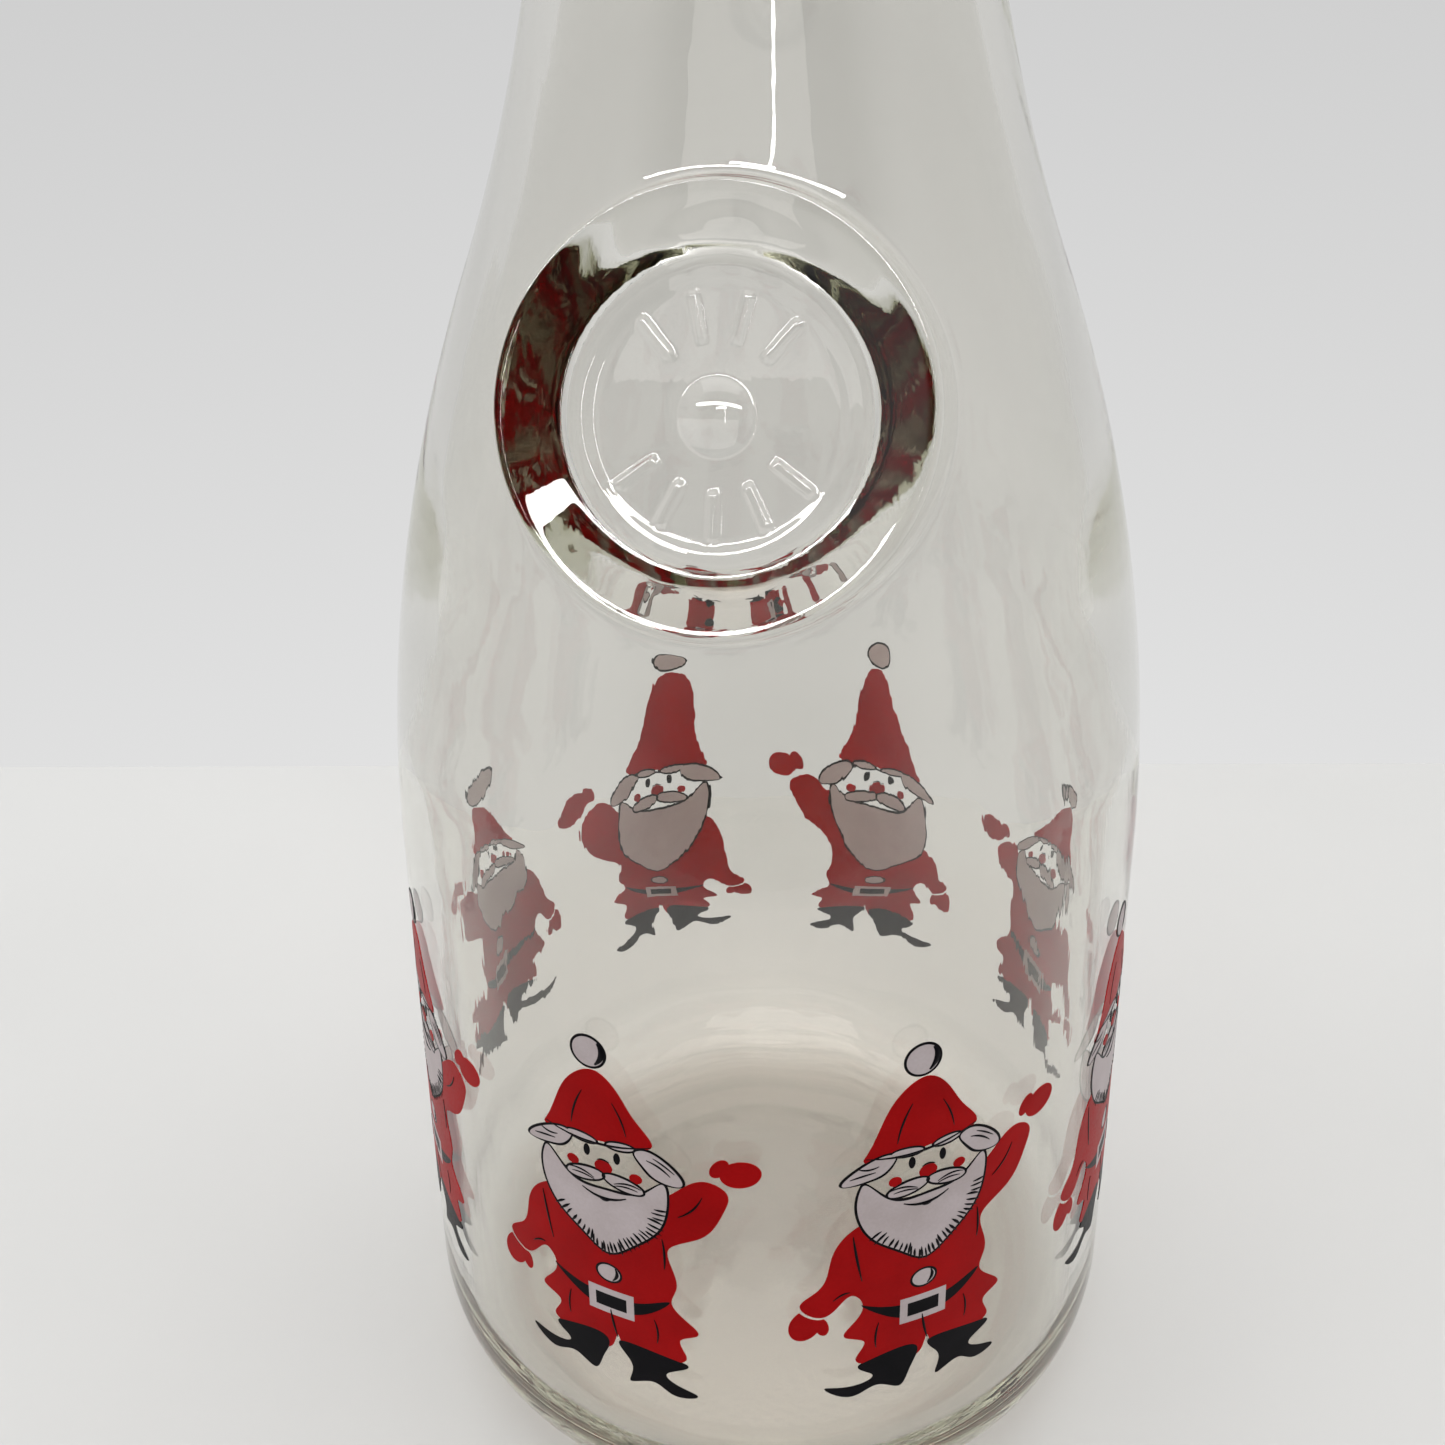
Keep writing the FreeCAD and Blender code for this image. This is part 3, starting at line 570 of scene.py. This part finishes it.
class Graph:
    """The nodes of a material or of the world."""

    def __init__(self, owner):
        owner.use_nodes = True
        self.owner = owner
        self.tree = owner.node_tree
        self.tree.nodes.clear()

    def node(self, kind, settings=None, inputs=None, output=0):
        """Adds a node: its settings first, then the values or links of its sockets."""
        node = self.tree.nodes.new(kind)
        for key, value in (settings or {}).items():
            if key == "stops":
                while len(node.color_ramp.elements) < len(value):
                    node.color_ramp.elements.new(1.0)
                for element, (position, colour) in zip(node.color_ramp.elements, value):
                    element.position = position
                    element.color = colour
            else:
                setattr(node, key, value)
        for key, value in (inputs or {}).items():
            if isinstance(value, Signal):
                self.tree.links.new(value.socket, node.inputs[key])
            else:
                node.inputs[key].default_value = value
        return Signal(self, node.outputs[output])

    def show(self, shader, socket="Surface", kind="ShaderNodeOutputMaterial"):
        """Ends the graph: this shader is what is seen on the surface or in the volume."""
        ends = [node for node in self.tree.nodes if node.bl_idname == kind]
        end = ends[0] if ends else self.tree.nodes.new(kind)
        self.tree.links.new(shader.socket, end.inputs[socket])
        return self.owner


class Finish(Graph):
    """A material and its graph."""

    def __init__(self, name):
        super().__init__(bpy.data.materials.new(name))

    def place(self):
        """The point on the surface, in the piece's own coordinates."""
        return self.node("ShaderNodeTexCoord", output="Object")

    def noise(self, scale, detail=2.0, stretch=(1.0, 1.0, 1.0)):
        """Soft random values between 0 and 1, about scale of them to a metre."""
        point = self.node("ShaderNodeMapping", None, {"Vector": self.place(), "Scale": stretch})
        return self.node(
            "ShaderNodeTexNoise", None, {"Vector": point, "Scale": scale, "Detail": detail}, output="Fac")

    def ramp(self, value, *stops):
        """Colours read along a value."""
        return self.node("ShaderNodeValToRGB", {"stops": stops}, {"Fac": value}, output="Color")

    def bump(self, height, strength, distance):
        """A surface direction tilted by a height."""
        return self.node(
            "ShaderNodeBump", None, {"Height": height, "Strength": strength, "Distance": distance},
            output="Normal")


def grey(value):
    """A colour with three equal parts."""
    return (value, value, value, 1.0)


# %% [markdown]
# ## Clear glass
#
# Soda-lime glass bends light with an index of 1.52 and takes a little green out of it on the way. The
# surface is bright and polished, with faint scratches from the crate. Light that only casts a shadow
# is let through, because tracing bent shadow rays through a bottle would only leave a black shadow.

# %% The glass material
GLASS_INDEX = 1.52
GLASS_TINT = (0.915, 0.906, 0.882, 1.0)
SHADOW_TINT = (0.62, 0.58, 0.565, 1.0)
DEEP_GREEN = (0.62, 0.62, 0.48, 1.0)     # what is left of white light far along inside the glass
DEEP_DENSITY = 18.0


def clear_glass():
    """Smooth glass with smears and scratches; light that casts a shadow passes straight through."""
    finish = Finish("clear_glass")
    smear = finish.noise(60.0, 3.0, (1.0, 1.0, 0.3))
    scratch = finish.noise(900.0, 2.0, (1.0, 1.0, 0.12))
    rough = finish.ramp(smear, (0.45, grey(0.0)), (0.8, grey(0.03)))
    body = finish.node("ShaderNodeBsdfPrincipled", None, {
        "Base Color": GLASS_TINT, "Roughness": rough, "IOR": GLASS_INDEX, "Transmission Weight": 1.0,
        "Normal": finish.bump(scratch, 0.02, 0.0002)})
    shadow = finish.node("ShaderNodeBsdfTransparent", None, {"Color": SHADOW_TINT})
    is_shadow = finish.node("ShaderNodeLightPath", output="Is Shadow Ray")
    finish.show(finish.node("ShaderNodeMixShader", None, {0: is_shadow, 1: body, 2: shadow}))
    depth = finish.node("ShaderNodeVolumeAbsorption", None, {"Color": DEEP_GREEN, "Density": DEEP_DENSITY})
    finish.show(depth, socket="Volume")
    return finish.owner


glass.data.materials.append(clear_glass())
print("the glass has its material")

# %% [markdown]
# ## Fired enamel
#
# The gnomes are screen printed in glass inks and fired, so each colour is a smooth, thin, glossy coat
# with tiny pinholes and a slight unevenness where the screen's mesh let more or less ink through.

# %% Three inks
ENAMEL_SHINE = 0.04       # the thin coat mirrors much less than bare glass


def enamel(name, deep, plain, gloss):
    """A glossy ink: its colour wanders between two close shades, and its surface is a little uneven."""
    finish = Finish(name)
    cloud = finish.noise(160.0, 4.0)
    grain = finish.noise(2600.0, 2.0)
    colour = finish.ramp(cloud * 0.7 + grain * 0.3, (0.35, deep), (0.65, plain))
    rough = finish.ramp(grain, (0.3, grey(gloss)), (0.8, grey(gloss + 0.12)))
    return finish.show(finish.node("ShaderNodeBsdfPrincipled", None, {
        "Base Color": colour, "Roughness": rough, "Specular IOR Level": ENAMEL_SHINE,
        "Normal": finish.bump(grain, 0.05, 0.0001)}))


inks = {
    "red": enamel("red_enamel", (0.32, 0.0, 0.001, 1.0), (0.40, 0.001, 0.002, 1.0), 0.30),
    "white": enamel("white_enamel", (0.50, 0.43, 0.43, 1.0), (0.58, 0.51, 0.52, 1.0), 0.32),
    "black": enamel("black_enamel", (0.001, 0.001, 0.002, 1.0), (0.005, 0.004, 0.006, 1.0), 0.30),
}
for name, node in nodes.items():
    for ink, material in inks.items():
        if name.endswith(ink + "_enamel"):
            node.data.materials.clear()
            node.data.materials.append(material)
print("printed", sum(name.startswith("gnome") for name in nodes), "coats of ink")

# %% [markdown]
# ## Pen lines
#
# The drawings have fine black lines over the colours: the fringe of the beard, locks of hair, a mouth,
# folds in the coat and the round shade of the pompom. A pen line is a profile carried along a path: it
# starts thin, swells and ends thin. Each line here is a thin closed bar that follows the round wall.

# %% The drawing's lines, across and up from the middle of the boot soles, in millimetres
PRINT_FOOT = 28.75 * MM
PRINT_TURN = math.radians(8.2)
FIGURES = 8
INK_SEAT = 0.05 * MM          # how far out of the wall a pen line starts, inside the colour under it
INK_TOP = 0.11 * MM
SAMPLES = 9
BEARD = [(-7.6, 26.8), (-3.8, 23.6), (-0.9, 21.8), (2.2, 23.8), (5.2, 26.8), (6.8, 31.0)]
BEARD_HEART = (-2.0, 31.0)
BEARD_HAIRS = 30
BEARD_REACH = 1.7
BLUNT_END = 0.3               # the width of a line's ends, as a share of its middle
THIN_END = 0.15
LINES = [
    # start, middle, end, width
    ((-3.9, 31.2), (-1.0, 29.6), (1.9, 31.4), 0.42),      # mouth
    ((-1.6, 30.4), (-0.9, 30.1), (-0.2, 30.5), 0.50),
    ((-8.6, 39.2), (-2.0, 37.6), (5.2, 40.2), 0.34),      # brim of the hat
    ((-4.9, 40.6), (-4.6, 43.4), (-3.2, 46.0), 0.26),     # folds in the hat
    ((2.2, 41.0), (1.9, 43.2), (0.6, 45.4), 0.22),
    ((-0.9, 53.4), (0.3, 51.9), (-1.3, 50.3), 0.75),      # shade of the pompom
    ((0.0, 19.3), (0.6, 18.2), (-0.4, 17.2), 0.45),       # shade of the button
    ((-9.9, 27.6), (-9.6, 24.6), (-8.8, 20.2), 0.32),     # sleeves
    ((-12.2, 17.6), (-11.0, 18.8), (-10.2, 18.6), 0.26),
    ((6.2, 26.4), (6.6, 24.0), (6.4, 21.6), 0.30),
    ((8.2, 30.4), (10.2, 31.6), (11.0, 34.0), 0.26),
    ((-0.9, 12.0), (-0.7, 10.0), (-0.1, 7.6), 0.34),      # opening of the coat
    ((-6.6, 12.6), (-7.2, 10.4), (-6.9, 8.4), 0.26),      # folds below the belt
    ((4.9, 12.6), (5.6, 10.6), (5.2, 8.6), 0.26),
    ((-9.6, 38.0), (-8.4, 37.2), (-7.0, 37.8), 0.26),     # locks of hair
    ((-10.4, 36.4), (-9.0, 36.8), (-7.4, 37.0), 0.26),
    ((4.6, 38.2), (6.2, 37.8), (7.4, 36.4), 0.26),
    ((5.4, 38.7), (6.6, 38.1), (7.9, 36.9), 0.22),
    ((-5.6, 33.6), (-4.0, 34.2), (-2.2, 33.2), 0.26),     # hairs of the moustache
    ((-5.2, 33.1), (-3.6, 33.5), (-2.0, 32.9), 0.22),
    ((0.4, 33.2), (2.2, 34.2), (3.8, 33.4), 0.26),
    ((0.4, 32.9), (1.8, 33.5), (3.4, 33.0), 0.22),
    ((-1.7, 36.2), (-0.9, 36.7), (-0.1, 36.2), 0.24),     # over the nose
]
lines = np.array([[*start, *middle, *end, width, BLUNT_END] for start, middle, end, width in LINES])
print("a gnome has", len(lines), "single lines")


# %% The beard's fringe
def curve_through(points, count):
    """Even places along a smooth open curve through a few points: between two points it follows the
    cubic whose slope at each is half the step from the point before to the point after."""
    points = np.array(points, float)
    padded = np.concatenate([2 * points[:1] - points[1:2], points, 2 * points[-1:] - points[-2:-1]])
    place = np.linspace(0, len(points) - 1 - 1e-9, count)
    first = place.astype(int)
    t = (place - first)[:, None]
    p0, p1, p2, p3 = (padded[first + step] for step in range(4))
    return p1 + t * (p2 - p0) / 2 + t ** 2 * (p0 - 2.5 * p1 + 2 * p2 - p3 / 2) + t ** 3 * (
        (p3 - p0) / 2 + 1.5 * (p1 - p2))


def fringe(outline, count, reach, heart):
    """Short curved hairs that cross an outline: each starts a little outside it and bends towards a
    heart point inside."""
    edge = curve_through(outline, count)
    inward = np.array(heart) - edge
    inward /= np.linalg.norm(inward, axis=1)[:, None]
    beside = np.stack([-inward[:, 1], inward[:, 0]], -1)
    length = rng.uniform(0.6, 1.0, (count, 1)) * reach
    lean = rng.uniform(-0.35, 0.35, (count, 1)) * reach
    start = edge - inward * rng.uniform(0.25, 0.75, (count, 1))
    middle = edge + inward * length * 0.45 + beside * lean * 0.5
    end = edge + inward * length + beside * lean * 0.2
    width = rng.uniform(0.24, 0.38, (count, 1))
    return np.hstack([start, middle, end, width, np.full((count, 1), THIN_END)])


beard = fringe(BEARD, BEARD_HAIRS, BEARD_REACH, BEARD_HEART)
lines = np.concatenate([lines, beard])
print("with the beard's hairs there are", len(lines), "lines")


# %% Press the lines onto the wall
def pen_bars(lines, turn):
    """Each line is a curve p (1-t)^2 + 2 q t (1-t) + r t^2 with a width that grows from an end's
    share to the full width in the middle as the sine of pi t. Its two edges, at two distances from
    the wall, give four rails of a closed bar."""
    t = np.linspace(0, 1, SAMPLES)[None, :, None]
    start, middle, end = lines[:, None, 0:2], lines[:, None, 2:4], lines[:, None, 4:6]
    path = start * (1 - t) ** 2 + 2 * middle * t * (1 - t) + end * t ** 2
    along = 2 * (middle - start) * (1 - t) + 2 * (end - middle) * t
    along /= np.linalg.norm(along, axis=-1, keepdims=True)
    beside = np.stack([-along[..., 1], along[..., 0]], -1)
    full, share = lines[:, None, 6:7], lines[:, None, 7:8]
    width = full * (share + (1 - share) * np.sin(math.pi * t))
    rails = np.stack([path - beside * width / 2, path + beside * width / 2], 2)
    across = np.concatenate([rails, rails[:, :, ::-1]], 2) * MM
    lift = np.array([INK_TOP, INK_TOP, INK_SEAT, INK_SEAT])
    height = PRINT_FOOT + across[..., 1]
    radius = outside.radius(height) + lift
    x, y = across[..., 0], -np.sqrt(radius ** 2 - across[..., 0] ** 2)
    cosine, sine = math.cos(turn), math.sin(turn)
    return np.stack([x * cosine - y * sine, x * sine + y * cosine, height], -1)


def bar_faces(count):
    """Four sides along each bar and a cap at each end."""
    index = np.arange(count * SAMPLES * 4).reshape(count, SAMPLES, 4)
    beside = np.roll(index, -1, 2)
    sides = np.stack([index[:, :-1], beside[:, :-1], beside[:, 1:], index[:, 1:]], -1).reshape(-1, 4)
    return np.concatenate([sides, index[:, 0, ::-1], index[:, -1]])[:, ::-1]


for number in range(FIGURES):
    turn = PRINT_TURN + (number - 0.5) * 2 * math.pi / FIGURES
    bars = pen_bars(lines, turn).reshape(-1, 3)
    no_triangles = np.empty((0, 3), int)
    pen = make_mesh("gnome_%d_pen_lines" % (number + 1), bars, bar_faces(len(lines)), no_triangles)
    pen.data.materials.append(inks["black"])
    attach(pen, "root")
print("each set of pen lines holds %.2f mm3 of ink" % (volume(pen) / MM ** 3))

# %% [markdown]
# ## Table, light and camera
#
# The bottle stands on a white table whose far edge shows behind it. Round it is a pale room, brighter
# towards the table, with soft ceiling lights that draw long highlights down the neck and the seal.

# %% The table
TABLE_BACK = 152.0 * MM
TABLE_FRONT = 300.0 * MM
TABLE_REACH = 1.6
TABLE_THICKNESS = 30.0 * MM
TABLE_SHADES = (0.62, 0.62, 0.61, 1.0), (0.66, 0.66, 0.65, 1.0)
VIEW_BEARING = math.radians(7.46)


def table():
    """A slab whose top lies under the bottle; its far edge is square to the view."""
    corners = np.array([
        [-TABLE_REACH, -TABLE_FRONT], [TABLE_REACH, -TABLE_FRONT],
        [TABLE_REACH, TABLE_BACK], [-TABLE_REACH, TABLE_BACK]])
    cosine, sine = math.cos(VIEW_BEARING), math.sin(VIEW_BEARING)
    turn = np.array([[cosine, sine], [-sine, cosine]])
    flat = corners @ turn
    top = np.column_stack([flat, np.zeros(4)])
    points = np.concatenate([top, top - np.array([0.0, 0.0, TABLE_THICKNESS])])
    squares = np.array([
        [0, 1, 2, 3], [7, 6, 5, 4], [0, 4, 5, 1], [1, 5, 6, 2], [2, 6, 7, 3], [3, 7, 4, 0]])
    slab = make_mesh("table", points, squares, np.empty((0, 3), int))
    slab.data.polygons.foreach_set("use_smooth", np.zeros(6, bool))
    finish = Finish("table_white")
    cloud = finish.noise(4.0, 3.0)
    colour = finish.ramp(cloud, (0.35, TABLE_SHADES[0]), (0.65, TABLE_SHADES[1]))
    slab.data.materials.append(finish.show(finish.node("ShaderNodeBsdfPrincipled", None, {
        "Base Color": colour, "Roughness": 0.6, "IOR": 1.4})))
    print("the table is %.1f m wide" % slab.dimensions.x)


table()

# %% The room's light
ROOM_BY_HEIGHT = [(0.24, grey(0.76)), (0.48, grey(0.63)), (0.75, grey(0.80))]
CARD_SHADE = (0.04, 0.04, 0.035, 1.0)
CARD_EDGE = (0.50, 0.85)      # how nearly a direction must meet the card's middle: none, all of it
CARD_LEVEL = 0.9              # the way to the card's middle, along the floor and up
CARD_RISE = 0.43


def room():
    """The world's colour by the height of the direction looked in, with a soft-edged black card in
    front of the bottle, so that the glass mirrors little. The card is mirrored by the glass and seen
    through it, but is left out of what the camera sees directly."""
    world = bpy.data.worlds.new("pale_room")
    bpy.context.scene.world = world
    graph = Graph(world)
    direction = graph.node("ShaderNodeTexCoord", output="Generated")
    height = graph.node("ShaderNodeSeparateXYZ", None, {0: direction}, output="Z")
    wall = graph.node("ShaderNodeValToRGB", {"stops": ROOM_BY_HEIGHT}, {"Fac": height * 0.5 + 0.5})
    towards = (math.sin(VIEW_BEARING) * CARD_LEVEL, -math.cos(VIEW_BEARING) * CARD_LEVEL, CARD_RISE)
    facing = graph.node("ShaderNodeVectorMath", {"operation": "DOT_PRODUCT"}, {0: direction, 1: towards},
                        output="Value")
    dark = graph.node("ShaderNodeMapRange", {"interpolation_type": "SMOOTHSTEP"}, {
        "Value": facing, "From Min": CARD_EDGE[0], "From Max": CARD_EDGE[1]})
    seen = graph.node("ShaderNodeLightPath", output="Is Camera Ray")
    shade = graph.node("ShaderNodeMix", {"data_type": "RGBA"}, {
        0: dark * (1 - seen), 6: wall, 7: CARD_SHADE}, output=2)
    graph.show(graph.node("ShaderNodeBackground", None, {"Color": shade}), kind="ShaderNodeOutputWorld")
    print("the room has", len(ROOM_BY_HEIGHT), "shades by height and a dark card")


room()


# %% The lamps
def lamp(name, bearing, height, distance, width, tall, power, glint=False, mirrored=True):
    """A rectangle of light that looks at the seal. Bearing: degrees to the right of the seal's own
    direction; height: degrees above level; then how far away, and its size in metres. A glint is a
    light that only shows as a reflection; one that is not mirrored only lights."""
    around, above = math.radians(bearing), math.radians(height)
    direction = Vector((
        math.sin(around) * math.cos(above), -math.cos(around) * math.cos(above), math.sin(above)))
    light = bpy.data.lights.new(name, "AREA")
    light.shape = "RECTANGLE"
    light.size = width
    light.size_y = tall
    light.energy = power
    holder = bpy.data.objects.new(name, light)
    holder.location = Vector((0.0, 0.0, SEAL_HEIGHT)) + direction * distance
    holder.rotation_euler = direction.to_track_quat("Z", "Y").to_euler()
    holder.visible_camera = False
    holder.visible_transmission = not glint
    holder.visible_diffuse = not glint
    holder.visible_glossy = mirrored
    bpy.context.scene.collection.objects.link(holder)


lamp("ceiling_soft", bearing=180.0, height=80.0, distance=1.6, width=2.0, tall=2.0, power=17.0)
lamp("front_soft", bearing=0.0, height=40.0, distance=1.6, width=1.6, tall=0.9, power=9.0,
     mirrored=False)
lamp("ceiling_row", bearing=-2.0, height=45.0, distance=1.3, width=2.2, tall=0.14, power=26.0,
     glint=True)
lamp("ceiling_panel", bearing=4.0, height=37.5, distance=1.3, width=0.42, tall=0.07, power=3.5,
     glint=True)
lamp("window_slit", bearing=12.0, height=24.0, distance=1.5, width=0.035, tall=0.60, power=1.5,
     glint=True)
print("lamps:", ", ".join(light.name for light in bpy.data.lights))

# %% The camera
CAMERA_OFF_AXIS = 165.4 * MM
CAMERA_HEIGHT = 190.2 * MM
CAMERA_PITCH = math.radians(29.23)
CAMERA_YAW = math.radians(-1.96)
CAMERA_ROLL = math.radians(-1.16)
LENS = 36.1
DEEP_BOUNCES = 96             # light runs a long way round inside the seal before it leaves


def camera():
    """Stands off the axis at a bearing, looks down by the pitch and aside by the yaw, and leans by
    the roll: its right, up and backward directions are the columns of its matrix."""
    data = bpy.data.cameras.new("view")
    data.lens = LENS
    data.sensor_width = 36.0
    data.clip_start = 0.005
    forward = np.array([
        math.sin(CAMERA_YAW) * math.cos(CAMERA_PITCH),
        math.cos(CAMERA_YAW) * math.cos(CAMERA_PITCH),
        -math.sin(CAMERA_PITCH)])
    level = np.array([math.cos(CAMERA_YAW), -math.sin(CAMERA_YAW), 0.0])
    above = np.cross(level, forward)
    right = math.cos(CAMERA_ROLL) * level + math.sin(CAMERA_ROLL) * above
    up = math.cos(CAMERA_ROLL) * above - math.sin(CAMERA_ROLL) * level
    place = np.array([0.0, -CAMERA_OFF_AXIS, CAMERA_HEIGHT])
    matrix = Matrix.Identity(4)
    for column, direction in enumerate((right, up, -forward, place)):
        for row in range(3):
            matrix[row][column] = direction[row]
    eye = bpy.data.objects.new("view", data)
    eye.matrix_world = Matrix.Rotation(VIEW_BEARING, 4, "Z") @ matrix
    bpy.context.scene.collection.objects.link(eye)
    bpy.context.scene.camera = eye
    print("the camera stands at", [round(value, 3) for value in eye.matrix_world.translation])


camera()
scene = bpy.context.scene
scene.view_settings.view_transform = "Standard"
scene.cycles.max_bounces = DEEP_BOUNCES
scene.cycles.transmission_bounces = DEEP_BOUNCES
scene.cycles.glossy_bounces = DEEP_BOUNCES
scene.cycles.transparent_max_bounces = 16
